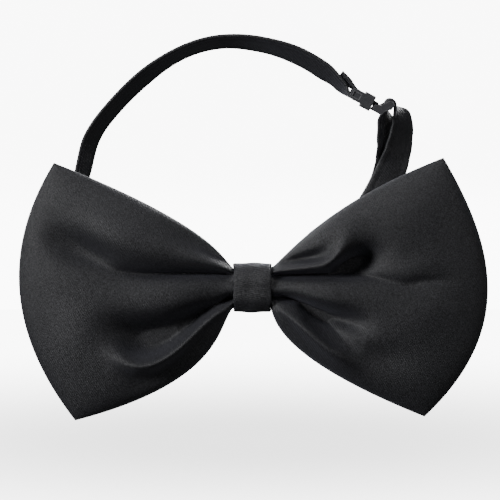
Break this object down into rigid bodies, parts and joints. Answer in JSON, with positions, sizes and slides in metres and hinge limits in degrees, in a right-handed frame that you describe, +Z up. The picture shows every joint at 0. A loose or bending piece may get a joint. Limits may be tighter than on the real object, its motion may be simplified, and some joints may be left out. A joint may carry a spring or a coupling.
{
  "type": "bow tie",
  "caption": "Ready-tied padded satin bow with a wrapped knot, on a narrow adjustable neck band closed by a small snap buckle.",
  "frame": {"origin": "middle of the flat back of the knot, where the tie rests on a collar", "axes": "+X to the viewer's right along the wings, +Y back towards the wearer, +Z up; the bow's front faces -Y"},
  "size_m": [0.1205, 0.0236, 0.0991],
  "materials": {
    "bow_satin": "soft satin sheen, fine twill grain",
    "band_satin": "satin tape, slightly duller than the bow",
    "wadding": "matte fleece",
    "interfacing": "matte woven",
    "thread": "sewing thread",
    "black_plastic": "moulded, glossy"
  },
  "bodies": {
    "bow": {"front_panel": "bow_satin", "back_panel": "bow_satin", "wing_filling": "wadding", "gather_thread": "thread", "knot_wrap": "bow_satin", "knot_lining": "interfacing", "knot_seam_stitches": "thread", "neck_band": "band_satin", "loop_bartack": "thread", "adjuster_strap": "band_satin", "buckle_socket": "black_plastic"},
    "plug": {"buckle_plug": "black_plastic"},
    "tongue": {"buckle_tongue": "black_plastic"},
    "slider": {"strap_slider": "black_plastic", "slider_bartack": "thread"}
  },
  "joints": [
    {"name": "buckle_release", "type": "slide", "parent": "bow", "child": "plug", "axis": [0.8829, 0, -0.4695], "range_m": [0, 0.012], "deforming": ["adjuster_strap", "buckle_tongue"]},
    {"name": "tongue_press", "type": "hinge", "parent": "plug", "child": "tongue", "pos_m": [0.03271, 0.0045, 0.04653], "axis": [0, -1, 0], "range_deg": [0, 8], "stiffness_Nm_per_rad": 0.005},
    {"name": "slider_adjust", "type": "slide", "parent": "bow", "child": "slider", "axis": [0.8, 0, 0.6], "range_m": [-0.004, 0.006], "deforming": ["adjuster_strap"]}
  ]
}
